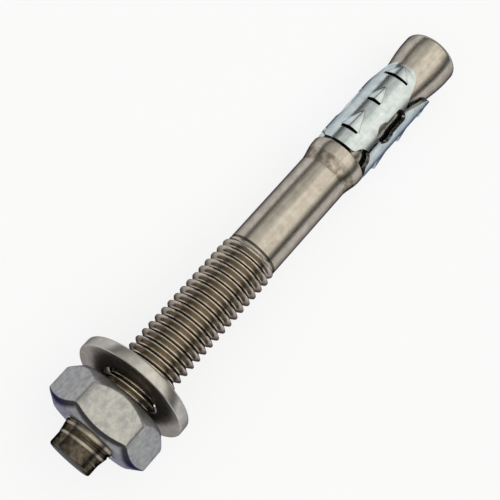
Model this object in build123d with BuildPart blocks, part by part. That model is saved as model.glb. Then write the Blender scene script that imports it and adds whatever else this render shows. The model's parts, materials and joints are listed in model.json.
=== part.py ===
"""Wedge anchor, M10 by 92 mm, lying on a flat surface as it comes to rest.

Four real pieces: the cold-formed stud (drive end, rolled thread, shank, collar, neck and cone in one),
the sheet-metal expansion clip round its neck, a loose flat washer and a hexagon nut.
All lengths are in millimetres. Stations are distances along the stud from its free end.
"""
import os
from math import atan2, ceil, cos, floor, radians, sin, sqrt, tan

from build123d import *

os.makedirs("parts", exist_ok=True)

# Thread
thread_pitch = 1.5
thread_crest_r = 4.925
thread_root_r = 4.08
thread_root_flat = 0.26
thread_clearance = 0.05
ridge_sink = 0.1

# Stud, from the free end to the cone
stud_length = 92.0
drive_end_r = 3.85
drive_end_length = 2.1
drive_end_chamfer = 0.4
lead_in_length = 5.2
thread_end_station = 42.6
thread_fade_length = 1.4
thread_fade_rise = 0.12
shank_r = 4.5
groove_width = 0.45
groove_depth = 0.22
taper_length = 3.2
collar_r = 5.1
collar_length = 1.05
collar_edge_chamfer = 0.25
cone_length = 11.2
cone_flank_length = 5.1
cone_flank_rise = 0.82
crown_length = 2.1
cone_r = 5.05
cone_end_round = 0.8

# Hexagon nut
nut_station = 4.6
nut_height = 7.3
nut_across_flats = 16.8
nut_corner_r = 9.5
nut_outer_face_r = 7.25
nut_outer_chamfer_height = 1.45
nut_seat_r = 7.7
nut_seat_chamfer_height = 1.9
nut_countersink = 0.95
nut_minor_r = 4.2

# Flat washer
washer_gap = 0.15
washer_r = 10.0
washer_bore_r = 5.25
washer_thickness = 2.0
washer_edge_chamfer = 0.3
washer_bore_chamfer = 0.2
washer_lean = 9.5

# Expansion clip: its sheet, its fit on the neck and its lobes
clip_gap = 0.4
clip_length = 18.55
clip_outer_r = 5.15
clip_sheet = 0.75
clip_on_neck_clearance = 0.6
clip_on_cone_length = 3.6
clip_lobes = 3
first_gap_angle = 36.0

# Openings between lobes, along the clip from its edge beside the collar
mouth_length = 2.15
mouth_width = 3.7
slit_end = 4.6
slit_width = 0.24
bridge_length = 0.45
window_width = 2.4
window_bulge_r = 1.75
window_bulge_offset = 0.2

# Tabs, along the clip from its edge on the cone
tab_length = 5.85
tab_root_length = 0.7
tab_gap_root = 0.6
tab_end_length = 1.75
tab_gap_bend_width = 4.0
tab_gap_mouth = 7.8

# Raised forms along a lobe: start, length, width, height and slot
barb_slot_width = 0.3
barb_tip_width = 0.3
first_barb = (3.0, 4.1, 3.6, 0.36, 2.9)
second_barb = (clip_length - 8.8, 3.2, 2.7, 0.3, 2.2)
third_barb = (clip_length - 2.65, 1.8, 4.2, 0.22, 4.7)
lobe_barbs = (first_barb, second_barb, third_barb)

# Stations along the stud that follow from the lengths above
neck_r = clip_outer_r - clip_sheet - clip_on_neck_clearance
cone_start_station = stud_length - cone_length
cone_break_station = cone_start_station + cone_flank_length
cone_break_r = neck_r + cone_flank_rise
crown_station = stud_length - crown_length
end_round_station = stud_length - cone_end_round
clip_station = cone_start_station + clip_on_cone_length - clip_length
collar_end_station = clip_station - clip_gap
collar_start_station = collar_end_station - collar_length
shank_end_station = collar_start_station - taper_length
nut_seat_station = nut_station + nut_height

# The leaning washer's near side comes up to the nut's seat
lean = radians(washer_lean)
washer_half = washer_thickness / 2
washer_station = nut_seat_station + washer_gap + washer_half / cos(lean) + nut_seat_r * tan(lean)

# How it lies: the washer's rim and the cone's rim touch the surface
rim_half = washer_half - washer_edge_chamfer
end_round_r = cone_r - cone_end_round
rise = washer_r * cos(lean) + rim_half * sin(lean) - cone_r
run = end_round_station - washer_station + washer_r * sin(lean) - rim_half * cos(lean)
lie = atan2(rise, run)
washer_axis_height = washer_r * cos(lie + lean) + rim_half * sin(lie + lean)
free_end_height = washer_axis_height + washer_station * sin(lie)
free_end_reach = (drive_end_r - drive_end_chamfer) * sin(lie)
cone_end_reach = stud_length * cos(lie) + end_round_r * sin(lie)
free_end_x = (free_end_reach - cone_end_reach) / 2

# Planes: x is up and square to the stud, z runs along the stud towards the cone
stud_plane = Plane(
    origin=(free_end_x, 0, free_end_height),
    x_dir=(sin(lie), 0, cos(lie)),
    z_dir=(cos(lie), 0, -sin(lie)),
)
stud_axis = Axis(stud_plane.origin, stud_plane.z_dir)
profile_plane = Plane(origin=stud_plane.origin, x_dir=stud_plane.x_dir, z_dir=-stud_plane.y_dir)


def station(distance):
    """Plane square to the stud at a distance from its free end."""
    return stud_plane.offset(distance)


def radial_plane(distance, angle):
    """Plane facing outwards at an angle round the stud: x along the stud, y round it."""
    a = radians(angle)
    outwards = stud_plane.x_dir * cos(a) + stud_plane.y_dir * sin(a)
    return Plane(origin=station(distance).origin, x_dir=stud_plane.z_dir, z_dir=outwards)


def helix_profile_plane(path, foot):
    """Plane through the start of a helix: x away from the stud's axis, y along it."""
    start = path.line @ 0
    outwards = (start - foot).normalized()
    return Plane(origin=start, x_dir=outwards, z_dir=outwards.cross(stud_plane.z_dir))


# Thread form shared by stud and nut
flank_slope = (thread_pitch - thread_root_flat) / (2 * (thread_crest_r - thread_root_r))


def ridge_half_width(r):
    """Half the width of the stud's ridge at a radius."""
    return (thread_crest_r - r) * flank_slope


# Anchor stud
ridge_foot_r = thread_root_r - ridge_sink
helix_start = drive_end_length - thread_pitch / 2
helix_height = thread_end_station - thread_pitch / 2 - helix_start
lead_slope = lead_in_length / (thread_crest_r - drive_end_r)
fade_station = thread_end_station - thread_fade_length
fade_r = shank_r + thread_fade_rise
fade_slope = (shank_r - thread_root_r) / thread_fade_length
fade_foot_r = thread_root_r - 2 * ridge_sink
fade_foot_station = fade_station - 2 * ridge_sink / fade_slope
groove_station = thread_end_station + groove_width / 2
trim_r = thread_crest_r + 0.4
trim_start = -0.2
trim_end = thread_end_station + thread_pitch
end_round_middle = cone_end_round * (1 - sqrt(0.5))

with BuildPart() as anchor_stud:
    with BuildSketch(station(0)):
        Circle(thread_root_r)
    extrude(amount=trim_end)
    # Rolled thread: one helical ridge on the root cylinder
    with BuildLine() as stud_helix:
        Helix(
            pitch=thread_pitch,
            height=helix_height,
            radius=ridge_foot_r,
            center=station(helix_start).origin,
            direction=stud_plane.z_dir,
        )
    with BuildSketch(helix_profile_plane(stud_helix, station(helix_start).origin)):
        with BuildLine():
            Polyline(
                (0, ridge_half_width(ridge_foot_r)),
                (thread_crest_r - ridge_foot_r, 0),
                (0, -ridge_half_width(ridge_foot_r)),
                close=True,
            )
        make_face()
    sweep(path=stud_helix.line, is_frenet=True)
    # The plain drive end, and the taper on which the thread starts
    with BuildSketch(profile_plane):
        with BuildLine():
            Polyline(
                (drive_end_r - drive_end_chamfer + trim_start, trim_start),
                (drive_end_r, drive_end_chamfer),
                (drive_end_r, drive_end_length),
                (trim_r, drive_end_length + (trim_r - drive_end_r) * lead_slope),
                (trim_r, trim_start),
                close=True,
            )
        make_face()
    revolve(axis=stud_axis, mode=Mode.SUBTRACT)
    # The thread's crest runs down into the shank
    with BuildSketch(profile_plane):
        with BuildLine():
            Polyline(
                (thread_crest_r, fade_station),
                (fade_r, thread_end_station),
                (fade_r, trim_end),
                (trim_r, trim_end),
                (trim_r, fade_station),
                close=True,
            )
        make_face()
    revolve(axis=stud_axis, mode=Mode.SUBTRACT)
    # Groove behind the thread, shank, taper, collar, neck and cone
    with BuildSketch(profile_plane):
        with BuildLine():
            Polyline(
                (0, stud_length),
                (0, fade_foot_station),
                (fade_foot_r, fade_foot_station),
                (shank_r, thread_end_station),
                (shank_r - groove_depth, groove_station),
                (shank_r, groove_station + groove_width / 2),
                (shank_r, shank_end_station),
                (collar_r, collar_start_station),
                (collar_r, collar_end_station - collar_edge_chamfer),
                (collar_r - collar_edge_chamfer, collar_end_station),
                (neck_r, collar_end_station),
                (neck_r, cone_start_station),
                (cone_break_r, cone_break_station),
            )
            TangentArc((cone_r, crown_station), (cone_break_r, cone_break_station), tangent=(0, -1))
            Polyline(
                (cone_r, crown_station),
                (cone_r, end_round_station),
                (cone_r - end_round_middle, stud_length - end_round_middle),
                (end_round_r, stud_length),
                (0, stud_length),
            )
        make_face()
    revolve(axis=stud_axis)
anchor_stud.part.label = "anchor_stud"
export_step(anchor_stud.part, "parts/anchor_stud.step")

# Hexagon nut: its thread shares the stud's helix, with a small clearance all round
groove_base_r = nut_minor_r - 2 * ridge_sink
groove_side = thread_clearance * sqrt(1 + flank_slope**2)
groove_top_r = thread_crest_r + groove_side / flank_slope
turns_before_nut = floor((nut_station - thread_pitch / 2 - helix_start) / thread_pitch)
nut_helix_start = helix_start + turns_before_nut * thread_pitch
nut_turns = ceil((nut_seat_station + thread_pitch / 2 - nut_helix_start) / thread_pitch)
nut_trim_r = nut_across_flats

with BuildPart() as hex_nut:
    with BuildSketch(station(nut_station)):
        RegularPolygon(nut_across_flats / 2, 6, major_radius=False, rotation=30)
    extrude(amount=nut_height)
    # The thread's groove, then the bore inside it
    with BuildLine() as nut_helix:
        Helix(
            pitch=thread_pitch,
            height=nut_turns * thread_pitch,
            radius=groove_base_r,
            center=station(nut_helix_start).origin,
            direction=stud_plane.z_dir,
        )
    with BuildSketch(helix_profile_plane(nut_helix, station(nut_helix_start).origin)):
        with BuildLine():
            Polyline(
                (0, ridge_half_width(groove_base_r) + groove_side),
                (groove_top_r - groove_base_r, 0),
                (0, -ridge_half_width(groove_base_r) - groove_side),
                close=True,
            )
        make_face()
    sweep(path=nut_helix.line, is_frenet=True, mode=Mode.SUBTRACT)
    with BuildSketch(station(nut_station)):
        Circle(nut_minor_r)
    extrude(amount=nut_height, mode=Mode.SUBTRACT)
    # Both faces are chamfered and the corners are turned down
    with BuildSketch(profile_plane):
        with BuildLine():
            Polyline(
                (nut_outer_face_r, nut_station),
                (nut_corner_r, nut_station + nut_outer_chamfer_height),
                (nut_corner_r, nut_seat_station - nut_seat_chamfer_height),
                (nut_seat_r, nut_seat_station),
                (nut_seat_r, nut_seat_station + thread_pitch),
                (nut_trim_r, nut_seat_station + thread_pitch),
                (nut_trim_r, nut_station - thread_pitch),
                (nut_outer_face_r, nut_station - thread_pitch),
                close=True,
            )
        make_face()
    revolve(axis=stud_axis, mode=Mode.SUBTRACT)
    # The bore is countersunk at both ends
    with BuildSketch(profile_plane):
        for face, inwards in ((nut_station, 1), (nut_seat_station, -1)):
            with BuildLine():
                Polyline(
                    (groove_base_r, face + inwards * (nut_minor_r + nut_countersink - groove_base_r)),
                    (nut_minor_r + nut_countersink + 0.5, face - inwards * 0.5),
                    (groove_base_r, face - inwards * 0.5),
                    close=True,
                )
            make_face()
    revolve(axis=stud_axis, mode=Mode.SUBTRACT)
hex_nut.part.label = "hex_nut"
export_step(hex_nut.part, "parts/hex_nut.step")

# Flat washer, leaning on the stud
washer_plane = Plane(
    origin=station(washer_station).origin,
    x_dir=(sin(lie + lean), 0, cos(lie + lean)),
    z_dir=(cos(lie + lean), 0, -sin(lie + lean)),
)
with BuildPart() as flat_washer:
    with BuildSketch(washer_plane.offset(-washer_half)):
        Circle(washer_r)
        Circle(washer_bore_r, mode=Mode.SUBTRACT)
    extrude(amount=washer_thickness)
    rims = flat_washer.edges().filter_by(GeomType.CIRCLE).group_by(SortBy.RADIUS)
    chamfer(rims[-1], washer_edge_chamfer)
    chamfer(rims[0], washer_bore_chamfer)
flat_washer.part.label = "flat_washer"
export_step(flat_washer.part, "parts/flat_washer.step")

# Expansion clip: a sheet rolled round the neck, parted into lobes by mouths, slits, windows and tab gaps
clip_inner_r = clip_outer_r - clip_sheet
lobe_angle = 360 / clip_lobes
gap_angles = [first_gap_angle + i * lobe_angle for i in range(clip_lobes)]
seam_angle = gap_angles[1]
mouth_r = mouth_width / 2
mouth_centre = mouth_length - mouth_r
window_start = slit_end + bridge_length
tab_gap_start = clip_length - tab_length
window_end = tab_gap_start - tab_root_length
window_bulge_centre = window_start + window_bulge_r + window_bulge_offset
tab_bend = clip_length - tab_end_length
tab_flank = (tab_bend - tab_gap_start, (tab_gap_bend_width - tab_gap_root) / 2)

with BuildPart() as expansion_clip:
    with BuildSketch(station(clip_station)):
        Circle(clip_outer_r)
        Circle(clip_inner_r, mode=Mode.SUBTRACT)
    extrude(amount=clip_length)
    # Raised forms: highest at the end towards the collar, running down to a point towards the cone
    for gap_angle in gap_angles:
        lobe_middle = gap_angle - lobe_angle / 2
        for start, length, width, height, slot in lobe_barbs:
            foot_r = sqrt(clip_outer_r**2 - (width / 2) ** 2) - clip_sheet / 4
            side = radians(lobe_middle)
            up = stud_plane.x_dir * cos(side) + stud_plane.y_dir * sin(side)
            broad = station(clip_station + start)
            narrow = station(clip_station + start + length)
            with BuildSketch(Plane(origin=broad.origin, x_dir=up, z_dir=stud_plane.z_dir)):
                with BuildLine():
                    Polyline(
                        (foot_r, -width / 2),
                        (clip_outer_r + height, 0),
                        (foot_r, width / 2),
                        close=True,
                    )
                make_face()
            with BuildSketch(Plane(origin=narrow.origin, x_dir=up, z_dir=stud_plane.z_dir)):
                with BuildLine():
                    Polyline(
                        (foot_r, -barb_tip_width / 2),
                        (clip_outer_r, 0),
                        (foot_r, barb_tip_width / 2),
                        close=True,
                    )
                make_face()
            loft(ruled=True)
    # The sheared slot at the broad end of each raised form
    for gap_angle in gap_angles:
        with BuildSketch(radial_plane(clip_station, gap_angle - lobe_angle / 2)):
            for start, length, width, height, slot in lobe_barbs:
                with Locations((start - barb_slot_width / 2, 0)):
                    Rectangle(barb_slot_width, slot)
        extrude(amount=clip_outer_r + 1, mode=Mode.SUBTRACT)
    # Between lobes: a mouth and slit beside the collar, a window, and the gap between two tabs
    for gap_angle in gap_angles:
        with BuildSketch(radial_plane(clip_station, gap_angle)):
            with Locations(((mouth_centre - mouth_r) / 2, 0)):
                Rectangle(mouth_centre + mouth_r, mouth_width)
            with Locations((mouth_centre, 0)):
                Circle(mouth_r)
            with Locations(((mouth_centre + slit_end) / 2, 0)):
                Rectangle(slit_end - mouth_centre, slit_width)
            with Locations(((window_start + window_end) / 2, 0)):
                RectangleRounded(window_end - window_start, window_width, window_width / 3)
            with Locations((window_bulge_centre, 0)):
                Circle(window_bulge_r)
        extrude(amount=clip_outer_r + 1, mode=Mode.SUBTRACT)
        with BuildSketch(radial_plane(clip_station, gap_angle)):
            with BuildLine():
                Polyline(
                    (tab_bend, -tab_gap_bend_width / 2),
                    (tab_gap_start, -tab_gap_root / 2),
                    (tab_gap_start, tab_gap_root / 2),
                    (tab_bend, tab_gap_bend_width / 2),
                )
                TangentArc(
                    (tab_bend, tab_gap_bend_width / 2),
                    (clip_length, tab_gap_mouth / 2),
                    tangent=tab_flank,
                )
                TangentArc(
                    (tab_bend, -tab_gap_bend_width / 2),
                    (clip_length, -tab_gap_mouth / 2),
                    tangent=(tab_flank[0], -tab_flank[1]),
                )
                Polyline(
                    (clip_length, tab_gap_mouth / 2),
                    (clip_length + clip_sheet, tab_gap_mouth / 2),
                    (clip_length + clip_sheet, -tab_gap_mouth / 2),
                    (clip_length, -tab_gap_mouth / 2),
                )
            make_face()
        extrude(amount=clip_outer_r + 1, mode=Mode.SUBTRACT)
    # The seam where the rolled sheet's ends meet
    with BuildSketch(radial_plane(clip_station, seam_angle)):
        with Locations((clip_length / 2, 0)):
            Rectangle(clip_length + 1, slit_width)
    extrude(amount=clip_outer_r + 1, mode=Mode.SUBTRACT)
expansion_clip.part.label = "expansion_clip"
export_step(expansion_clip.part, "parts/expansion_clip.step")
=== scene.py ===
"""Looks of a wedge anchor: threaded stud with collar and cone, clip, flat washer and hexagon nut.

Lengths inside the classes are in millimetres in the stud's own frame: z runs along the stud from
its free end to the cone, x points up and away from the surface it lies on, and y lies across.
The washer has a leaning frame of its own, with z along its bore. A piece's place in the row frame
is put into its mesh at the end, in metres. The studio's floor is in metres from the start.
"""
from __future__ import annotations

import json
import logging
import math
from dataclasses import dataclass, field
from enum import Enum
from typing import Callable, Sequence, Union

import bmesh
import bpy
import numpy as np
from mathutils import Matrix, Vector

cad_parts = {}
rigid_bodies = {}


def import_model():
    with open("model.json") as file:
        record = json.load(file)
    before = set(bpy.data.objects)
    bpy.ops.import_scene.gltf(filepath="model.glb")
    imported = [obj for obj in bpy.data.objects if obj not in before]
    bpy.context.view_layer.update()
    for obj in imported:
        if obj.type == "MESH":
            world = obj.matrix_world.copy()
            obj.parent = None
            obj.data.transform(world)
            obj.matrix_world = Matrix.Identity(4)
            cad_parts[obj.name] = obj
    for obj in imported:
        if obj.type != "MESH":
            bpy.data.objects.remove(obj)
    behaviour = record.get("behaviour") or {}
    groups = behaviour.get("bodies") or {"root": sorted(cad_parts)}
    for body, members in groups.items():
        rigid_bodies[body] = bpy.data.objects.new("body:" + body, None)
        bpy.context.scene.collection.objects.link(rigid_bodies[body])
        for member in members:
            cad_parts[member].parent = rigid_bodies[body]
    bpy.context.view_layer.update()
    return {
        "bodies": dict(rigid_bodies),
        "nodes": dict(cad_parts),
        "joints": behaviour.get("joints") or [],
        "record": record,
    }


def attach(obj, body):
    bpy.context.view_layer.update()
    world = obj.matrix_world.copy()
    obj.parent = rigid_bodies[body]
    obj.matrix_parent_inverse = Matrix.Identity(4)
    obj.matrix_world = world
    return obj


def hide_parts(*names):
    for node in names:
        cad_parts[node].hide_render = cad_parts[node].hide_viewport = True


LOG = logging.getLogger("wedge_anchor")

MM = 0.001
FULL_TURN = 2 * math.pi
# Columns of points round the stud's axis, the same in every skin so that rings meet the thread
COLUMNS = 96
# Radius of a ring that closes a flat end at its middle
PINHOLE = 1e-4
# Points of a piece that are closer than this become one
WELD = 1e-3
# Edges that bend by this many degrees or more are shaded sharp
SHARP_ANGLE = 40.0

Pair = tuple[float, float]
Band = tuple[float, float, float]
Colour = tuple[float, float, float]


class Side(Enum):
    """Which side of a thread a surface is."""

    OUTER = "outer"
    INNER = "inner"


def opaque(colour: Colour) -> tuple[float, float, float, float]:
    """A colour as a socket takes it, with full alpha."""
    return (*colour, 1.0)


# Node maths


class Value:
    """A number that comes out of a node, usable in ordinary expressions."""

    def __init__(self, graph: "Graph", socket: bpy.types.NodeSocket) -> None:
        """Wraps a socket of a graph's node."""
        self.graph = graph
        self.socket = socket

    def maths(self, operation: str, *others: "Number") -> "Value":
        """Adds a Math node.

        Args:
            operation: the Math node's operation.
            others: the second and third operands.

        Returns:
            The node's result.
        """
        return self.graph.maths(operation, self, *others)

    def __add__(self, other: "Number") -> "Value":
        """Sum."""
        return self.maths("ADD", other)

    __radd__ = __add__

    def __mul__(self, other: "Number") -> "Value":
        """Product."""
        return self.maths("MULTIPLY", other)

    __rmul__ = __mul__

    def __sub__(self, other: "Number") -> "Value":
        """Difference."""
        return self.maths("SUBTRACT", other)

    def __rsub__(self, other: "Number") -> "Value":
        """Difference from a number on the left."""
        return self.graph.maths("SUBTRACT", other, self)

    def __truediv__(self, other: "Number") -> "Value":
        """Quotient."""
        return self.maths("DIVIDE", other)

    def __rtruediv__(self, other: "Number") -> "Value":
        """Quotient of a number on the left."""
        return self.graph.maths("DIVIDE", other, self)

    def __pow__(self, other: "Number") -> "Value":
        """Power."""
        return self.maths("POWER", other)

    def least(self, other: "Number") -> "Value":
        """The smaller of two values."""
        return self.maths("MINIMUM", other)

    def most(self, other: "Number") -> "Value":
        """The larger of two values."""
        return self.maths("MAXIMUM", other)

    def floor(self) -> "Value":
        """Rounded down."""
        return self.maths("FLOOR")

    def fraction(self) -> "Value":
        """What is left above the whole number."""
        return self.maths("FRACT")

    def size(self) -> "Value":
        """Without its sign."""
        return self.maths("ABSOLUTE")

    def clamped(self) -> "Value":
        """Held between 0 and 1."""
        return self.least(1.0).most(0.0)

    def eased(self) -> "Value":
        """Held between 0 and 1 and eased at both ends."""
        held = self.clamped()
        return held * held * (3.0 - 2.0 * held)

    def above(self, limit: "Number", edge: float) -> "Value":
        """0 below a limit and 1 above it, eased over an edge width."""
        return ((self - limit) / edge + 0.5).eased()

    def below(self, limit: "Number", edge: float) -> "Value":
        """1 below a limit and 0 above it, eased over an edge width."""
        return ((limit - self) / edge + 0.5).eased()

    def band(self, low: float, high: float, edge: float) -> "Value":
        """1 between two limits and 0 outside them, eased over an edge width."""
        return self.above(low, edge) * self.below(high, edge)


Number = Union[Value, float, int]
Input = Union[Value, float, int, Sequence[float], bpy.types.NodeSocket, bpy.types.Material]


class Graph:
    """A node tree that is being built."""

    def __init__(self, tree: bpy.types.NodeTree) -> None:
        """Takes a tree to build in."""
        self.tree = tree

    @classmethod
    def emptied(cls, owner: bpy.types.Material | bpy.types.World) -> "Graph":
        """Starts with no nodes in a material's or world's own tree."""
        owner.use_nodes = True
        owner.node_tree.nodes.clear()
        return cls(owner.node_tree)

    def node(
        self,
        kind: str,
        settings: dict | None = None,
        inputs: dict | None = None,
    ) -> bpy.types.Node:
        """Adds any node.

        Args:
            kind: the node's type name.
            settings: properties to set first, by name.
            inputs: values or links by socket identifier, name or number.

        Returns:
            The new node.
        """
        made = self.tree.nodes.new(kind)
        for name, value in (settings or {}).items():
            setattr(made, name, value)
        for name, value in (inputs or {}).items():
            self.feed(self.socket(made, name), value)
        return made

    @staticmethod
    def socket(node: bpy.types.Node, name: str | int) -> bpy.types.NodeSocket:
        """A node's input by identifier, by name or by number."""
        if isinstance(name, int):
            return node.inputs[name]
        for each in node.inputs:
            if each.identifier == name:
                return each
        return node.inputs[name]

    def feed(self, socket: bpy.types.NodeSocket, value: Input) -> None:
        """Links a value to a socket, or sets it there."""
        if isinstance(value, Value):
            self.tree.links.new(value.socket, socket)
        elif isinstance(value, bpy.types.NodeSocket):
            self.tree.links.new(value, socket)
        else:
            socket.default_value = value

    def maths(self, operation: str, *operands: Number) -> Value:
        """Adds a Math node with its operands and returns its result."""
        made = self.node("ShaderNodeMath", {"operation": operation}, dict(enumerate(operands)))
        return Value(self, made.outputs[0])

    def value(self, socket: bpy.types.NodeSocket) -> Value:
        """Wraps a socket for use in expressions."""
        return Value(self, socket)

    def mixed(self, factor: Number, a: Input, b: Input) -> bpy.types.NodeSocket:
        """A colour between two colours."""
        made = self.node(
            "ShaderNodeMix",
            {"data_type": "RGBA"},
            {"Factor_Float": factor, "A_Color": a, "B_Color": b},
        )
        return next(s for s in made.outputs if s.identifier == "Result_Color")


# Finishes


@dataclass(frozen=True)
class Place:
    """Where a shaded point lies: round the stud in turns, along it and off its axis in mm."""

    turn: Value
    station: Value
    radius: Value

    @classmethod
    def of(cls, graph: Graph, local: bpy.types.NodeSocket) -> "Place":
        """Reads a place from local coordinates."""
        parts = graph.node("ShaderNodeSeparateXYZ", None, {"Vector": local}).outputs
        x, y, z = [graph.value(part) for part in parts]
        return cls(y.maths("ARCTAN2", x) / FULL_TURN, z, (x * x + y * y) ** 0.5)


@dataclass(frozen=True)
class Mark:
    """A mark in a finish: its colour, and the share of it that covers the metal."""

    colour: Colour
    share: float = 1.0

    def over(self, graph: Graph, cover: Number, colour: Input) -> bpy.types.NodeSocket:
        """Lays the mark over a colour, where the cover is above 0."""
        return graph.mixed(cover * self.share, colour, opaque(self.colour))


@dataclass(frozen=True)
class Finish:
    """A plated metal: colour, sheen and the small scale of its blotches, grain and streaks."""

    name: str
    colour: Colour
    shade: Colour
    roughness: float
    blotch_size: float = 1.2
    blotch_share: float = 0.5
    blotch_contrast: float = 3.0
    blotch_sheen: float = 0.16
    grain_size: float = 0.12
    grain_share: float = 0.3
    grain_contrast: float = 2.5
    grain_sheen: float = 0.1
    streak_share: float = 0.0
    streak_contrast: float = 4.0
    streak_scale: tuple[float, float, float] = (1.6, 1.6, 0.06)
    bump_share: float = 0.25
    bump_height: float = 0.02
    edge_tint: Colour = (0.0, 0.0, 0.06)

    def material(self, frame: Matrix, marks: Callable | None = None) -> bpy.types.Material:
        """Builds the material.

        Args:
            frame: the stud's frame, which marks along and round the stud follow.
            marks: adds a piece's own marks; it is given the graph, the place and the colour.

        Returns:
            The material.
        """
        made = bpy.data.materials.new(self.name)
        graph = Graph.emptied(made)
        local = graph.node(
            "ShaderNodeMapping",
            {"vector_type": "TEXTURE"},
            {
                "Vector": graph.node("ShaderNodeTexCoord").outputs["Object"],
                "Location": frame.translation,
                "Rotation": frame.to_euler(),
                "Scale": (MM, MM, MM),
            },
        ).outputs[0]
        drawn = graph.node(
            "ShaderNodeMapping",
            None,
            {"Vector": local, "Scale": self.streak_scale},
        ).outputs[0]
        blotch = self.noise(graph, local, 1 / self.blotch_size, 3.0)
        grain = self.noise(graph, local, 1 / self.grain_size, 2.0)
        streak = self.noise(graph, drawn, 1.0, 3.0)
        mask = ((blotch - 0.5) * self.blotch_contrast + 0.5).clamped() * self.blotch_share
        mask = mask + ((streak - 0.5) * self.streak_contrast + 0.5).clamped() * self.streak_share
        mask = mask + ((grain - 0.5) * self.grain_contrast).clamped() * self.grain_share
        colour = graph.mixed(mask.clamped(), opaque(self.colour), opaque(self.shade))
        roughness = self.roughness + (blotch - 0.5) * self.blotch_sheen
        roughness = roughness + (grain - 0.5) * self.grain_sheen
        height = grain * self.bump_share + blotch * self.bump_share
        if marks is not None:
            colour = marks(graph, Place.of(graph, local), colour)
        bump = graph.node(
            "ShaderNodeBump",
            None,
            {"Strength": 1.0, "Distance": self.bump_height * MM, "Height": height},
        )
        shader = graph.node(
            "ShaderNodeBsdfPrincipled",
            None,
            {
                "Base Color": colour,
                "Metallic": 1.0,
                "Roughness": roughness,
                "Specular Tint": opaque(self.edge_tint),
                "Normal": bump.outputs[0],
            },
        )
        graph.node("ShaderNodeOutputMaterial", None, {"Surface": shader.outputs[0]})
        return made

    @staticmethod
    def noise(graph: Graph, place: bpy.types.NodeSocket, scale: float, detail: float) -> Value:
        """A noise of a given scale, in marks per millimetre."""
        made = graph.node(
            "ShaderNodeTexNoise",
            None,
            {"Vector": place, "Scale": scale, "Detail": detail},
        )
        return graph.value(made.outputs[0])


# Mesh work


@dataclass
class Skin:
    """Rings of points round an axis, from which a surface of any outline is made."""

    rings: list[np.ndarray] = field(default_factory=list)

    def ring(self, radius: float | np.ndarray, station: float | np.ndarray) -> None:
        """Adds a ring at a radius and station, each one number or one for each column."""
        angle = np.linspace(0, FULL_TURN, COLUMNS, endpoint=False)
        r = np.broadcast_to(radius, COLUMNS)
        z = np.broadcast_to(station, COLUMNS)
        self.rings.append(np.stack([r * np.cos(angle), r * np.sin(angle), z], axis=1))

    def profile(self, points: Sequence[Pair]) -> None:
        """Adds a ring for each (radius, station)."""
        for radius, station in points:
            self.ring(radius, station)

    def parts(self, closed: bool = False) -> tuple[np.ndarray, list[tuple[int, ...]]]:
        """Points and faces; a closed skin joins its last ring to its first."""
        count = len(self.rings)
        faces: list[tuple[int, ...]] = []
        for i in range(count if closed else count - 1):
            a, b = i * COLUMNS, (i + 1) % count * COLUMNS
            for j in range(COLUMNS):
                k = (j + 1) % COLUMNS
                faces.append((a + j, a + k, b + k, b + j))
        return np.concatenate(self.rings), faces


def arc(centre: Pair, radius: float, start: float, end: float, steps: int) -> list[Pair]:
    """Points (radius, station) along an arc, with angles in degrees from the outward direction."""
    on_chamfer = [math.radians(start + (end - start) * i / steps) for i in range(steps + 1)]
    return [(centre[0] + radius * math.cos(t), centre[1] + radius * math.sin(t)) for t in on_chamfer]


def new_object(name: str, points: np.ndarray, faces: Sequence[Sequence[int]]) -> bpy.types.Object:
    """A mesh object from points and faces."""
    mesh = bpy.data.meshes.new(name)
    mesh.from_pydata(points.tolist(), [], [tuple(f) for f in faces])
    mesh.update()
    made = bpy.data.objects.new(name, mesh)
    bpy.context.scene.collection.objects.link(made)
    return made


def welded(mesh: bpy.types.Mesh) -> bmesh.types.BMesh:
    """A mesh to work on, welded and with its faces turned the same way."""
    work = bmesh.new()
    work.from_mesh(mesh)
    bmesh.ops.remove_doubles(work, verts=work.verts, dist=WELD)
    bmesh.ops.recalc_face_normals(work, faces=work.faces)
    return work


def settle(made: bpy.types.Object, place: Matrix) -> None:
    """Welds a mesh, points its faces outwards, marks its sharp edges and puts it in the row frame.

    Args:
        made: the object, with its modifiers still live.
        place: from the piece's own frame in millimetres to the row frame in metres.
    """
    depsgraph = bpy.context.evaluated_depsgraph_get()
    mesh = bpy.data.meshes.new_from_object(made.evaluated_get(depsgraph))
    made.modifiers.clear()
    made.data = mesh
    work = welded(mesh)
    limit = math.radians(SHARP_ANGLE)
    for edge in work.edges:
        edge.smooth = len(edge.link_faces) == 2 and edge.calc_face_angle() < limit
    for face in work.faces:
        face.smooth = True
    work.to_mesh(mesh)
    work.free()
    mesh.transform(place)
    mesh.update()


# Thread


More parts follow.
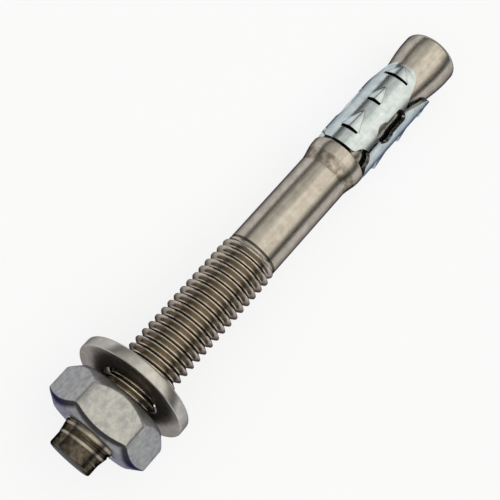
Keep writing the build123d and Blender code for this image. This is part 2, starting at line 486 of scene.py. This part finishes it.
@dataclass
class Thread:
    """A helical thread as one surface whose mesh rows follow the helix."""

    pitch: float = 1.5
    phase: float = 1.35
    crest: float = 4.925
    root: float = 4.08
    crest_flat: float = 0.15
    root_flat: float = 0.2
    flank_curve: float = 0.3
    last_ring: float = 0.05
    weld: float = 0.002
    rows: int = 20
    spare_turns: int = 3

    def group(self, side: Side) -> bpy.types.NodeTree:
        """Builds the Geometry Nodes tree for one side of the thread.

        Args:
            side: OUTER has a lead-in and fades into the shank; INNER has two countersinks.

        Returns:
            The tree, with its sizes as named inputs.
        """
        tree = bpy.data.node_groups.new("thread_" + side.value, "GeometryNodeTree")
        graph = Graph(tree)
        counts = ("Columns", "Rows per Pitch", "Rows")
        lengths = (
            "Pitch", "Phase", "Crest", "Root", "Crest Flat", "Root Flat", "Start", "End",
            "Start Radius", "End Radius", "Start Slope", "Fade", "Fade Rise",
        )
        kinds = {
            "Geometry": ["Geometry"],
            "Int": counts,
            "Float": lengths,
            "Material": ["Material"],
        }
        for kind, names in kinds.items():
            for name in names:
                tree.interface.new_socket(name, in_out="INPUT", socket_type="NodeSocket" + kind)
        tree.interface.new_socket("Geometry", in_out="OUTPUT", socket_type="NodeSocketGeometry")
        given = graph.node("NodeGroupInput").outputs
        size = {name: graph.value(given[name]) for name in counts + lengths}
        wide = size["Columns"] + 1
        grid = graph.node(
            "GeometryNodeMeshGrid",
            None,
            {"Vertices X": size["Rows"], "Vertices Y": wide},
        )
        index = graph.value(graph.node("GeometryNodeInputIndex").outputs[0])
        row = ((index + 0.5) / wide).floor()
        turn = (index - row * wide) / size["Columns"]
        pitches = row / size["Rows per Pitch"]
        before = ((size["Start"] - size["Phase"]) / size["Pitch"]).floor() - 1
        first = size["Phase"] + size["Pitch"] * before
        free = first + (pitches + turn) * size["Pitch"]
        station = free.most(size["Start"]).least(size["End"])
        share = pitches - pitches.floor()
        off_crest = share.least(1 - share) * size["Pitch"]
        flank = size["Pitch"] / 2 - size["Crest Flat"] / 2 - size["Root Flat"] / 2
        down = ((off_crest - size["Crest Flat"] / 2) / flank).clamped()
        down = down * (1.0 - self.flank_curve) + down.eased() * self.flank_curve
        if side is Side.OUTER:
            faded = ((station - size["Fade"]) / (size["End"] - size["Fade"])).clamped()
            crest = size["Crest"] - faded * (size["Crest"] - size["End Radius"] - size["Fade Rise"])
            root = size["Root"] + faded * (size["End Radius"] - size["Root"])
            radius = crest - (crest - root) * down
            lead = size["Start Radius"] + (station - size["Start"]) * size["Start Slope"]
            radius = radius.least(lead)
            last = ((size["End"] - station) / self.last_ring).clamped()
            radius = size["End Radius"] + (radius - size["End Radius"]) * last
        else:
            radius = size["Crest"] - (size["Crest"] - size["Root"]) * down
            near = size["Start Radius"] - (station - size["Start"]) * size["Start Slope"]
            far = size["End Radius"] - (size["End"] - station) * size["Start Slope"]
            radius = radius.most(near).most(far)
        angle = turn * FULL_TURN
        place = graph.node(
            "ShaderNodeCombineXYZ",
            None,
            {"X": radius * angle.maths("COSINE"), "Y": radius * angle.maths("SINE"), "Z": station},
        )
        wound = graph.node(
            "GeometryNodeSetPosition",
            None,
            {"Geometry": grid.outputs["Mesh"], "Position": place.outputs[0]},
        )
        joined = graph.node("GeometryNodeJoinGeometry")
        tree.links.new(given["Geometry"], joined.inputs[0])
        tree.links.new(wound.outputs[0], joined.inputs[0])
        merged = graph.node(
            "GeometryNodeMergeByDistance",
            None,
            {"Geometry": joined.outputs[0], "Distance": self.weld},
        )
        real = graph.node("GeometryNodeRealizeInstances", None, {"Geometry": merged.outputs[0]})
        faced = graph.node(
            "GeometryNodeSetMaterial",
            None,
            {"Geometry": real.outputs[0], "Material": given["Material"]},
        )
        graph.node("NodeGroupOutput", None, {0: faced.outputs[0]})
        return tree

    def wind(
        self,
        made: bpy.types.Object,
        side: Side,
        start: Pair,
        end: Pair,
        material: bpy.types.Material,
        slope: float,
        fade: float = 0.0,
        fade_rise: float = 0.0,
        swell: float = 0.0,
    ) -> None:
        """Adds the thread to a piece as a live modifier.

        Args:
            made: the piece, open between the two end rings.
            side: which side of the thread this is.
            start: radius and station of the first ring.
            end: radius and station of the last ring.
            material: the piece's material.
            slope: the taper at the start, in radius per length.
            fade: the station from which the thread runs out.
            fade_rise: how far its crest still stands out there at the end.
            swell: added to both radii, for clearance.
        """
        turns = math.ceil((end[1] - start[1]) / self.pitch) + self.spare_turns
        values = {
            "Columns": COLUMNS,
            "Rows per Pitch": self.rows,
            "Rows": turns * self.rows + 1,
            "Pitch": self.pitch,
            "Phase": self.phase,
            "Crest": self.crest + swell,
            "Root": self.root + swell,
            "Crest Flat": self.crest_flat,
            "Root Flat": self.root_flat,
            "Start": start[1],
            "End": end[1],
            "Start Radius": start[0],
            "End Radius": end[0],
            "Start Slope": slope,
            "Fade": fade,
            "Fade Rise": fade_rise,
            "Material": material,
        }
        modifier = made.modifiers.new("thread", "NODES")
        modifier.node_group = self.group(side)
        for item in modifier.node_group.interface.items_tree:
            if item.in_out == "INPUT" and item.name in values:
                modifier[item.identifier] = values[item.name]


# Pieces


@dataclass
class Stud:
    """The stud: drive end, thread, shank, collar, neck and cone."""

    thread: Thread
    drive_radius: float = 3.85
    drive_length: float = 2.1
    drive_chamfer: float = 0.4
    lead_length: float = 5.2
    fade_station: float = 41.2
    fade_rise: float = 0.12
    thread_end: float = 42.6
    shank_radius: float = 4.5
    groove_width: float = 0.45
    groove_depth: float = 0.22
    groove_fullness: float = 0.8
    shank_end: float = 61.2
    taper_ease: float = 0.5
    collar_radius: float = 5.1
    collar_start: float = 64.4
    collar_end: float = 65.45
    collar_round: float = 0.22
    neck_radius: float = 3.8
    neck_fillet: float = 0.35
    cone_start: float = 80.8
    cone_break: Pair = (4.62, 85.9)
    flare_power: float = 1.6
    flare_steps: int = 12
    crown: Pair = (5.05, 89.9)
    end_round: float = 0.8
    length: float = 92.0
    # Bands of a pitch, counted from one crest's middle to the next: low, high and edge width
    free_band: Band = (0.58, 0.94, 0.05)
    cone_band: Band = (0.075, 0.40, 0.06)
    root_band: Band = (0.06, 0.8, 0.1)
    thread_edge: float = 0.4
    groove_edge: float = 0.1
    # Ragged marks: how fine round the stud and along it, their detail and contrast
    ragged_scale: Pair = (24.0, 0.9)
    ragged_noise: Pair = (1.3, 4.0)
    ragged_contrast: float = 3.0
    ragged_share: float = 0.6
    drawn_edge: float = 0.35
    # Wear and painted shade at the drive end: how far they go past it, up to the nut's face, and
    # their least strength
    wear_and_shade_reach: float = 2.4
    wear_and_shade_edge: float = 0.6
    wear_least: float = 0.8
    wear_flat: Pair = (0.1, 0.2)
    crest_span: Band = (1.6, 5.0, 0.3)
    crest_kept: float = 0.7
    # Painted shade on the thread's flanks, darker on the cone side, which faces away from the light
    free_flank_shade: Mark = Mark((0.42, 0.34, 0.24), 0.3)
    cone_flank_shade: Mark = Mark((0.23, 0.185, 0.125), 0.78)
    # Painted shade in the groove where the thread runs out
    groove_shade: Mark = Mark((0.08, 0.065, 0.05), 0.8)
    drawn_skin: Mark = Mark((0.17, 0.14, 0.1), 0.85)
    # Wear on the drive end, with painted shade next to the nut's face
    wear_and_shade_skin: Mark = Mark((0.052, 0.041, 0.028))
    finish: Finish = Finish(
        "stud_zinc",
        (0.57, 0.53, 0.475),
        (0.38, 0.34, 0.285),
        0.26,
        streak_share=0.4,
    )

    def front(self) -> Skin:
        """The drive end, from its middle to the thread's first ring."""
        skin = Skin()
        # Plain numbers place rings that only divide a flat face or a straight stretch
        rim, c = self.drive_radius, self.drive_chamfer
        skin.profile([(PINHOLE, 0.0), (1.6, 0.0), (rim - c - 0.05, 0.0)])
        skin.profile(arc((rim - c, c), c, -90, 0, 5))
        skin.profile([(rim, 1.2), (rim, self.drive_length)])
        return skin

    def flare(self) -> list[Pair]:
        """The cone's profile from its break to its crown, bending back to straight."""
        (r0, s0), (r1, s1) = self.cone_break, self.crown
        points = []
        for i in range(1, self.flare_steps + 1):
            t = i / self.flare_steps
            bent = 1 - (1 - t) ** self.flare_power
            points.append((r0 + (r1 - r0) * bent, s0 + (s1 - s0) * t))
        return points

    def back(self) -> Skin:
        """Everything behind the thread, from its last ring to the middle of the cone's end."""
        skin = Skin()
        # Plain numbers place rings that only divide a flat face or a straight stretch
        shank, collar, neck = self.shank_radius, self.collar_radius, self.neck_radius
        for t in np.linspace(0, 1, 9).tolist():
            dip = self.groove_depth * math.sin(math.pi * t) ** self.groove_fullness
            skin.ring(shank - dip, self.thread_end + self.groove_width * t)
        for station in np.linspace(self.thread_end + 1.2, self.shank_end - 0.5, 24).tolist():
            skin.ring(shank, station)
        span = self.collar_start - self.shank_end
        for t in np.linspace(0, 1, 9).tolist():
            eased = (1 - self.taper_ease) * t + self.taper_ease * t * t * (3 - 2 * t)
            skin.ring(shank + (collar - shank) * eased, self.shank_end + span * t)
        edge, fillet = self.collar_round, self.neck_fillet
        skin.profile([(collar, self.collar_end - 0.6)])
        skin.profile(arc((collar - edge, self.collar_end - edge), edge, 0, 90, 4))
        skin.profile([(neck + 0.5, self.collar_end)])
        skin.profile(arc((neck + fillet, self.collar_end + fillet), fillet, 270, 180, 4))
        for station in np.linspace(self.collar_end + 1.5, self.cone_start - 0.3, 10).tolist():
            skin.ring(neck, station)
        wide, broken = self.cone_break
        span = broken - self.cone_start
        for t in np.linspace(0, 1, 8).tolist():
            skin.ring(neck + (wide - neck) * t, self.cone_start + span * t)
        skin.profile(self.flare())
        corner = (self.crown[0] - self.end_round, self.length - self.end_round)
        skin.profile(arc(corner, self.end_round, 0, 90, 7))
        skin.profile([(2.6, self.length), (1.1, self.length), (PINHOLE, self.length)])
        return skin

    def marks(self, graph: Graph, place: Place, colour: Input) -> Input:
        """Paints shade on the thread's flanks and in the groove, darkens the drawn taper, and
        darkens the drive end with wear and painted shade.
        """
        station = place.station
        share = ((station - self.thread.phase) / self.thread.pitch - place.turn).fraction()
        soft = self.thread_edge
        threaded = station.band(self.drive_length - soft / 2, self.fade_station + soft, soft)
        # Painted shade on both flanks of the thread
        free_shade_cover = share.band(*self.free_band) * threaded
        cone_shade_cover = share.band(*self.cone_band) * threaded
        colour = self.free_flank_shade.over(graph, free_shade_cover, colour)
        colour = self.cone_flank_shade.over(graph, cone_shade_cover, colour)
        # Painted shade in the groove at the thread's end
        start, end = self.thread_end + 0.02, self.thread_end + self.groove_width
        colour = self.groove_shade.over(graph, station.band(start, end, self.groove_edge), colour)
        around, along = self.ragged_scale
        ragged = graph.node(
            "ShaderNodeCombineXYZ",
            None,
            {"X": place.turn * around, "Y": station * along, "Z": 0.0},
        )
        rough = Finish.noise(graph, ragged.outputs[0], *self.ragged_noise)
        rough = ((rough - 0.5) * self.ragged_contrast + self.ragged_share).clamped()
        drawn = station.band(self.shank_end - 0.3, self.shank_end + 2.0, self.drawn_edge)
        colour = self.drawn_skin.over(graph, drawn * rough, colour)
        # The wear is even on the end's flat face, painted shade joins it up to the nut's face, and
        # the first threads' crests stay brighter
        flat, rise = self.wear_flat
        side = ((station - flat) / rise).clamped()
        wear_and_shade = self.wear_least + rough * side * (1.0 - self.wear_least)
        wear_and_shade = wear_and_shade * station.below(self.drive_length + self.wear_and_shade_reach, self.wear_and_shade_edge)
        crest = 1.0 - share.band(*self.root_band)
        darkened = wear_and_shade * (1.0 - crest * station.band(*self.crest_span) * self.crest_kept)
        return self.wear_and_shade_skin.over(graph, darkened, colour)

    def build(self, place: Matrix, frame: Matrix) -> bpy.types.Object:
        """Makes the stud.

        Args:
            place: from the stud's frame in millimetres to the row frame.
            frame: the stud's frame in the row frame.

        Returns:
            The finished object.
        """
        front_points, front_faces = self.front().parts()
        back_points, back_faces = self.back().parts()
        shift = len(front_points)
        faces = front_faces + [tuple(i + shift for i in f) for f in back_faces]
        made = new_object("stud_skin", np.concatenate([front_points, back_points]), faces)
        material = self.finish.material(frame, self.marks)
        made.data.materials.append(material)
        self.thread.wind(
            made,
            Side.OUTER,
            (self.drive_radius, self.drive_length),
            (self.shank_radius, self.thread_end),
            material,
            (self.thread.crest - self.drive_radius) / self.lead_length,
            self.fade_station,
            self.fade_rise,
        )
        settle(made, place)
        return made


@dataclass
class Nut:
    """The hexagon nut with its own thread."""

    thread: Thread
    sides: int = 6
    station: float = 4.6
    height: float = 7.3
    across_flats: float = 16.8
    corner: float = 9.5
    # Each end: the radius of its flat face, and how far its chamfer drops at a corner
    outer_face: Pair = (7.25, 1.45)
    seat: Pair = (7.7, 1.9)
    bore: float = 4.2
    countersink: float = 0.95
    clearance: float = 0.06
    edge: float = 0.22
    edge_angle: float = 18.0
    edge_segments: int = 3
    chamfer_lift: float = 0.08
    chamfer_edge: float = 0.12
    # A painted dark reflection on the chamfer at the outer face
    chamfer_reflection: Mark = Mark((0.03, 0.028, 0.032))
    # Cover of that painted reflection everywhere, and what is added to it next to a flat
    chamfer_cover: Pair = (0.25, 0.68)
    # How far in from a flat that goes: its middle and its edge width
    chamfer_reach: Pair = (1.0, 0.8)
    finish: Finish = Finish(
        "nut_zinc",
        (0.47, 0.465, 0.43),
        (0.28, 0.295, 0.31),
        0.36,
        blotch_size=0.8,
        blotch_share=0.75,
        edge_tint=(0.3, 0.3, 0.45),
    )

    def marks(self, graph: Graph, place: Place, colour: Input) -> Input:
        """Paints a dark reflection on the chamfer at the outer face, strongest along each flat."""
        radius, drop = self.outer_face
        cone = self.station + (place.radius - radius) * (drop / (self.corner - radius))
        # Painted dark reflection on the chamfer, strongest along each flat
        on_chamfer = place.station.below(cone + self.chamfer_lift, self.chamfer_edge)
        off = ((place.turn * self.sides + 0.5).fraction() - 0.5) * (FULL_TURN / self.sides)
        inward = (self.across_flats / 2) / off.maths("COSINE") - place.radius
        everywhere, by_flat = self.chamfer_cover
        cover = everywhere + inward.below(*self.chamfer_reach) * by_flat
        return self.chamfer_reflection.over(graph, on_chamfer * cover, colour)

    def build(self, place: Matrix, frame: Matrix) -> bpy.types.Object:
        """Makes the nut.

        Args:
            place: from the stud's frame in millimetres to the row frame.
            frame: the stud's frame in the row frame.

        Returns:
            The finished object.
        """
        angle = np.linspace(0, FULL_TURN, COLUMNS, endpoint=False)
        # A flat faces up, so that flats lie at 0, 60, 120 degrees and so on
        side = FULL_TURN / self.sides
        off = (angle + side / 2) % side - side / 2
        flats = np.minimum(self.across_flats / 2 / np.cos(off), self.corner)
        rise, drop = [
            (flats - radius) / (self.corner - radius) * depth
            for radius, depth in (self.outer_face, self.seat)
        ]
        mouth = self.bore + self.countersink
        skin = Skin()
        low, high = self.station, self.station + self.height
        skin.ring(mouth, low)
        skin.ring((mouth + self.outer_face[0]) / 2, low)
        skin.ring(self.outer_face[0], low)
        skin.ring(flats, low + rise)
        for share in (0.25, 0.5, 0.75):
            skin.ring(flats, low + rise + share * (self.height - rise - drop))
        skin.ring(flats, high - drop)
        skin.ring(self.seat[0], high)
        skin.ring((mouth + self.seat[0]) / 2, high)
        skin.ring(mouth, high)
        made = new_object("nut_skin", *skin.parts())
        material = self.finish.material(frame, self.marks)
        made.data.materials.append(material)
        bevel = made.modifiers.new("edges", "BEVEL")
        bevel.limit_method = "ANGLE"
        bevel.angle_limit = math.radians(self.edge_angle)
        bevel.width = self.edge
        bevel.segments = self.edge_segments
        self.thread.wind(
            made,
            Side.INNER,
            (mouth, low),
            (mouth, high),
            material,
            1.0,
            swell=self.clearance,
        )
        settle(made, place)
        return made


@dataclass
class Washer:
    """The flat washer, with a rounded rim."""

    radius: float = 10.0
    bore: float = 5.25
    thickness: float = 2.0
    edge: float = 0.3
    bore_edge: float = 0.2
    finish: Finish = Finish(
        "washer_zinc",
        (0.54, 0.525, 0.5),
        (0.36, 0.345, 0.32),
        0.3,
        edge_tint=(0.25, 0.22, 0.22),
    )

    def build(self, place: Matrix, frame: Matrix) -> bpy.types.Object:
        """Makes the washer in its own leaning frame.

        Args:
            place: from the washer's frame in millimetres to the row frame.
            frame: the stud's frame in the row frame.

        Returns:
            The finished object.
        """
        half, rim, inner = self.thickness / 2, self.edge, self.bore_edge
        middle = (self.radius + self.bore) / 2
        skin = Skin()
        skin.profile(arc((self.radius - rim, half - rim), rim, 0, 90, 4))
        skin.profile([(middle, half)])
        skin.profile(arc((self.bore + inner, half - inner), inner, 90, 180, 3))
        skin.profile(arc((self.bore + inner, inner - half), inner, 180, 270, 3))
        skin.profile([(middle, -half)])
        skin.profile(arc((self.radius - rim, rim - half), rim, 270, 360, 4))
        made = new_object("washer_skin", *skin.parts(closed=True))
        made.data.materials.append(self.finish.material(frame))
        settle(made, place)
        return made


@dataclass(frozen=True)
class Barb:
    """A raised triangle on a lobe: where it starts, how far it goes, and its sheared slot."""

    start: float
    length: float
    width: float
    height: float
    slot: float
    tip: float = 0.15
    crown: float = 0.8

    def half_width(self, share: Number) -> Number:
        """Half its width at a share of its length."""
        return self.width / 2 - share * (self.width / 2 - self.tip)


@dataclass
class Clip:
    """The expansion clip: a sheet rolled round the neck, with gaps, windows, tabs and barbs."""

    station: float = 65.85
    length: float = 18.55
    radius: float = 5.15
    sheet: float = 0.75
    first_gap: float = 36.0
    lobes: int = 3
    across: int = 72
    # Mouths between the lobes at the collar's end: radius and depth
    mouth: Pair = (1.85, 2.15)
    corner_round: float = 0.9
    # Slits behind the mouths: half width, and where they end
    slit: Pair = (0.15, 4.6)
    # Windows: where they start and end, and half width
    window: tuple[float, float, float] = (5.05, 12.0, 1.2)
    window_round: float = 0.8
    # Round bulge in each window: radius and middle
    bulge: Pair = (1.75, 7.0)
    # Gaps beside the tabs: half width and place, at three points
    tab: tuple[Pair, Pair, Pair] = ((0.3, 12.7), (2.0, 16.8), (3.9, 18.55))
    barbs: tuple[Barb, ...] = (
        Barb(3.05, 4.1, 3.7, 0.5, 3.2),
        Barb(9.8, 3.2, 2.9, 0.45, 2.5),
        Barb(15.9, 2.2, 4.7, 0.3, 4.8),
    )
    slot_width: float = 0.4
    slot_depth: float = 0.6
    slot_shift: float = 0.02
    # Edge widths of the painted shade in the slots, along the clip and across a lobe
    slot_edges: Pair = (0.05, 0.12)
    # Painted shade in the sheared slots
    slot_shade: Mark = Mark((0.015, 0.02, 0.02), 0.95)
    row_step: float = 0.17
    row_gap: float = 0.07
    # Painted shade along the bent edges of each barb
    crease_width: float = 0.16
    crease_edge: float = 0.1
    crease_shade: Mark = Mark((0.16, 0.2, 0.21), 0.68)
    # Painted shadow at the bend where the end lip rises
    lip_depth: float = 0.45
    lip_curve: float = 0.13
    lip_width: float = 0.28
    lip_band: Band = (-2.6, 2.6, 0.8)
    lip_bend_shadow: Mark = Mark((0.25, 0.3, 0.27), 0.5)
    finish: Finish = Finish(
        "clip_zinc",
        (0.68, 0.74, 0.75),
        (0.4, 0.46, 0.48),
        0.2,
        blotch_size=1.3,
        blotch_share=0.45,
        streak_share=0.25,
        edge_tint=(0.05, 0.07, 0.15),
    )

    def half_gap(self, s: float, seam: bool) -> float:
        """Half the gap between two lobes at a distance along the clip from its collar end."""
        least = self.slit[0] if seam or s <= self.slit[1] else 0.0
        half = least
        radius, depth = self.mouth
        if s < depth:
            past = max(0.0, s - depth + radius)
            half = math.sqrt(max(0.0, radius**2 - past**2))
            corner = self.corner_round
            if s < corner:
                half += corner - math.sqrt(corner**2 - (corner - s) ** 2)
        first, last, wide = self.window
        if first < s < last:
            end = min(min(s - first, last - s) / self.window_round, 1.0)
            half = wide - self.window_round * (1 - math.sqrt(1 - (1 - end) ** 2))
            swell = self.bulge[0] ** 2 - (s - self.bulge[1]) ** 2
            if swell > 0:
                half = max(half, math.sqrt(swell))
        (w0, s0), (w1, s1), (w2, s2) = self.tab
        if s0 <= s < s1:
            half = w0 + (s - s0) / (s1 - s0) * (w1 - w0)
        elif s >= s1:
            # An arc that goes on from the straight flank and ends at the tab's edge
            slope = math.atan2(w1 - w0, s1 - s0)
            chord = math.atan2(w2 - w1, s2 - s1)
            radius = math.hypot(w2 - w1, s2 - s1) / (2 * math.sin(chord - slope))
            past = s - (s1 - radius * math.sin(slope))
            half = w1 + radius * math.cos(slope) - math.sqrt(max(0.0, radius**2 - past**2))
        return max(half, least)

    def rise(self, w: np.ndarray, s: float) -> np.ndarray:
        """How far the sheet stands out at distances across a lobe and along it."""
        out = np.zeros_like(w)
        for barb in self.barbs:
            share = (s - barb.start) / barb.length
            if 0 <= share <= 1:
                roof = np.clip(1 - np.abs(w) / barb.half_width(share), 0, 1) ** barb.crown
                out += barb.height * (1 - share) * roof
            elif barb.start - self.slot_width <= s < barb.start:
                out -= np.where(np.abs(w) < barb.slot / 2, self.slot_depth, 0.0)
        return out

    def marks(self, graph: Graph, place: Place, colour: Input) -> Input:
        """Paints shade into the sheared slots, along the creases of each barb and at the bend of
        the end lip.
        """
        along = place.station - self.station
        lobe = ((place.turn - self.first_gap / 360.0) * self.lobes).fraction() - 0.5
        across = lobe * (FULL_TURN * self.radius / self.lobes)
        for barb in self.barbs:
            # Painted shade along both edges of the barb
            share = ((along - barb.start) / barb.length).clamped()
            off_edge = (across.size() - barb.half_width(share)).size()
            crease = (1.0 - off_edge / self.crease_width).clamped()
            end = barb.start + barb.length
            crease = crease * along.band(barb.start, end, self.crease_edge)
            colour = self.crease_shade.over(graph, crease, colour)
            # Painted shade in the sheared slot before the barb
            end = barb.start - self.slot_shift
            cut = along.band(end - self.slot_width, end, self.slot_edges[0])
            cut = cut * across.band(-barb.slot / 2, barb.slot / 2, self.slot_edges[1])
            colour = self.slot_shade.over(graph, cut, colour)
        # Painted shadow along the lip's bend
        lip = self.length - self.lip_depth - across * across * self.lip_curve
        bend = (1.0 - (along - lip).size() / self.lip_width).clamped()
        return self.lip_bend_shadow.over(graph, bend * across.band(*self.lip_band), colour)

    def stations(self) -> list[float]:
        """Distances along the clip at which it has a row of points."""
        fixed = [0.0, self.length, self.slit[1], self.slit[1] + 0.06]
        depth, (first, last, _) = self.mouth[1], self.window
        fixed += [depth - d for d in (0.3, 0.15, 0.06, 0.02, 0.0)]
        for d in (0.0, 0.03, 0.1, 0.2, 0.35, 0.5, 0.65, 0.8):
            fixed += [first + d, last - d]
        fixed += [self.tab[0][1], self.tab[0][1] + 0.06, self.tab[1][1]]
        fixed += [self.length - d for d in (0.04, 0.1, 0.2)]
        for barb in self.barbs:
            cut = barb.start - self.slot_width
            fixed += [cut - 0.02, cut, barb.start - 0.03, barb.start, barb.start + barb.length]
        kept = sorted(set(round(float(v), 4) for v in fixed))
        for s in np.arange(0, self.length, self.row_step):
            if min(abs(s - k) for k in kept) > self.row_gap:
                kept.append(round(float(s), 4))
        return sorted(kept)

    def build(self, place: Matrix, frame: Matrix) -> bpy.types.Object:
        """Makes the clip.

        Args:
            place: from the stud's frame in millimetres to the row frame.
            frame: the stud's frame in the row frame.

        Returns:
            The finished object.
        """
        points: list[tuple[float, float, float]] = []
        faces: list[tuple[int, ...]] = []
        rows = self.stations()
        lobe = FULL_TURN / self.lobes
        for i in range(self.lobes):
            left = math.radians(self.first_gap) + i * lobe
            base = len(points)
            for s in rows:
                g0 = self.half_gap(s, i == 1) / self.radius
                g1 = self.half_gap(s, (i + 1) % self.lobes == 1) / self.radius
                angle = np.linspace(left + g0, left + lobe - g1, self.across + 1)
                w = (angle - left - lobe / 2) * self.radius
                radii = self.radius + self.rise(w, s)
                for a, r in zip(angle.tolist(), radii.tolist()):
                    points.append((r * math.cos(a), r * math.sin(a), self.station + s))
            wide = self.across + 1
            for k in range(len(rows) - 1):
                for j in range(self.across):
                    a = base + k * wide + j
                    faces.append((a, a + 1, a + wide + 1, a + wide))
        made = new_object("clip_skin", np.array(points), faces)
        work = welded(made.data)
        # The faces have to point outwards, since the wall grows inwards from them
        if sum(f.normal.xy.dot(f.calc_center_median().xy) for f in work.faces) < 0:
            bmesh.ops.reverse_faces(work, faces=work.faces)
        work.to_mesh(made.data)
        work.free()
        made.data.materials.append(self.finish.material(frame, self.marks))
        wall = made.modifiers.new("wall", "SOLIDIFY")
        wall.thickness = self.sheet
        wall.offset = -1.0
        settle(made, place)
        return made


# Scene


@dataclass
class Studio:
    """Camera, floor and world. All the light comes from the world."""

    view_angle: float = 18.35
    focal: float = 79.2
    sensor: float = 36.0
    distance: float = 176.26
    aim: float = 43.2
    # The picture's right, as shares of the stud's direction and of the one across it
    roll: Pair = (0.669, 0.744)
    shift_px: Pair = (3.6, 3.4)
    px_per_mm: float = 6.24
    dome_colour: Colour = (1.28, 1.235, 1.13)
    side_colour: Colour = (0.74, 0.73, 0.68)
    band_colour: Colour = (0.05, 0.048, 0.046)
    band_top: float = 0.5
    band_lift: float = 0.08
    band_edge: float = 0.36
    side_start: float = 0.27
    side_edge: float = 0.3
    floor_colour: Colour = (0.92, 0.95, 1.0)
    floor_glow: float = 0.8
    glow_colour: Colour = (1.0, 1.0, 1.0)
    floor_middle: float = 0.3
    floor_radius: float = 1.9
    floor_rim: float = 0.3

    def camera(self, stud: Matrix) -> None:
        """Places the camera over the stud at the photograph's viewing angle."""
        up, along = stud.col[0].to_3d(), stud.col[2].to_3d()
        tilt = math.radians(self.view_angle)
        looking = -math.cos(tilt) * up + math.sin(tilt) * along
        u = math.cos(tilt) * along + math.sin(tilt) * up
        v = looking.cross(u)
        right = (self.roll[0] * u + self.roll[1] * v).normalized()
        top = right.cross(looking)
        spot = stud.translation + along * self.aim * MM - looking * self.distance * MM
        spot += (-right * self.shift_px[0] + top * self.shift_px[1]) / self.px_per_mm * MM
        data = bpy.data.cameras.new("camera")
        data.lens = self.focal
        data.sensor_width = self.sensor
        data.clip_start = 0.01
        made = bpy.data.objects.new("camera", data)
        on_chamfer = Matrix((right, top, -looking)).transposed().to_4x4()
        made.matrix_world = Matrix.Translation(spot) @ on_chamfer
        bpy.context.scene.collection.objects.link(made)
        bpy.context.scene.camera = made

    def floor(self) -> None:
        """A plain pale floor with a low rim far out, which metal mirrors just as it looks."""
        skin = Skin()
        skin.profile([(PINHOLE, 0.0), (self.floor_middle, 0.0), (self.floor_radius, 0.0)])
        skin.profile(arc((self.floor_radius, self.floor_rim), self.floor_rim, -80, 0, 8))
        made = new_object("floor", *skin.parts())
        material = bpy.data.materials.new("floor_white")
        graph = Graph.emptied(material)
        rays = graph.node("ShaderNodeLightPath").outputs
        seen, mirrored, through = [
            graph.value(rays[f"Is {kind} Ray"]) for kind in ("Camera", "Glossy", "Transmission")
        ]
        matt = graph.node("ShaderNodeBsdfDiffuse", None, {"Color": opaque(self.floor_colour)})
        glow = graph.node("ShaderNodeEmission", None, {"Color": opaque(self.glow_colour)})
        blend = graph.node(
            "ShaderNodeMixShader",
            None,
            {
                0: seen.most(mirrored).most(through) * self.floor_glow,
                1: matt.outputs[0],
                2: glow.outputs[0],
            },
        )
        graph.node("ShaderNodeOutputMaterial", None, {"Surface": blend.outputs[0]})
        made.data.materials.append(material)

    def world(self) -> None:
        """A bright warm dome, less bright towards +Y, over a dark band low down."""
        made = bpy.data.worlds.new("world")
        graph = Graph.emptied(made)
        direction = graph.node("ShaderNodeTexCoord").outputs["Generated"]
        way = graph.node("ShaderNodeSeparateXYZ", None, {"Vector": direction})
        side, height = graph.value(way.outputs[1]), graph.value(way.outputs[2])
        lit = (height + side * self.band_lift).above(self.band_top, self.band_edge)
        dome = side.below(self.side_start, self.side_edge)
        bright = graph.mixed(dome, opaque(self.side_colour), opaque(self.dome_colour))
        colour = graph.mixed(lit, opaque(self.band_colour), bright)
        light = graph.node("ShaderNodeBackground", None, {"Color": colour, "Strength": 1.0})
        graph.node("ShaderNodeOutputWorld", None, {"Surface": light.outputs[0]})
        bpy.context.scene.world = made

    def build(self, stud: Matrix) -> None:
        """Sets up everything round the anchor."""
        self.camera(stud)
        self.floor()
        self.world()
        bpy.context.scene.view_settings.view_transform = "Standard"


def frame_of(origin: Vector, along: Vector) -> Matrix:
    """A frame with z along a direction in the upright plane and x pointing up from it."""
    z = along.normalized()
    y = Vector((0.0, -1.0, 0.0))
    x = y.cross(z)
    made = Matrix((x, y, z)).transposed().to_4x4()
    made.translation = origin
    return made


def main() -> None:
    """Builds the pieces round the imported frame."""
    logging.basicConfig(level=logging.INFO, format="%(message)s")
    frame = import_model()
    joints = {joint["name"]: joint for joint in frame["joints"]}
    mounts = {mount["name"]: mount for mount in frame["record"]["mounts"]}
    along = Vector(joints["nut_turn"]["axis"])
    thread = Thread()
    nut = Nut(thread)
    nut_middle = nut.station + nut.height / 2
    free_end = Vector(joints["nut_turn"]["pos_m"]) - along * nut_middle * MM
    stud_frame = frame_of(free_end, along)
    washer = Washer()
    face = mounts["fixture_face"]
    middle = Vector(face["pos_m"]) - Vector(face["axis"]) * washer.thickness / 2 * MM
    middle.y = 0.0
    leaning = frame_of(middle, Vector(face["axis"]))
    shrink = Matrix.Scale(MM, 4)
    place = stud_frame @ shrink
    pieces = {
        "stud": (Stud(thread), place, "anchor_stud", "stud_zinc"),
        "nut": (nut, place, "hex_nut", "nut_zinc"),
        "washer": (washer, leaning @ shrink, "flat_washer", "washer_zinc"),
        "clip": (Clip(), place, "expansion_clip", "clip_zinc"),
    }
    for body, (maker, where, node, slot) in pieces.items():
        piece = maker.build(where, stud_frame)
        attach(piece, body)
        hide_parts(node)
        LOG.info("%s: %d faces on %s", piece.name, len(piece.data.polygons), body)
    Studio().build(stud_frame)


if __name__ == "__main__":
    main()
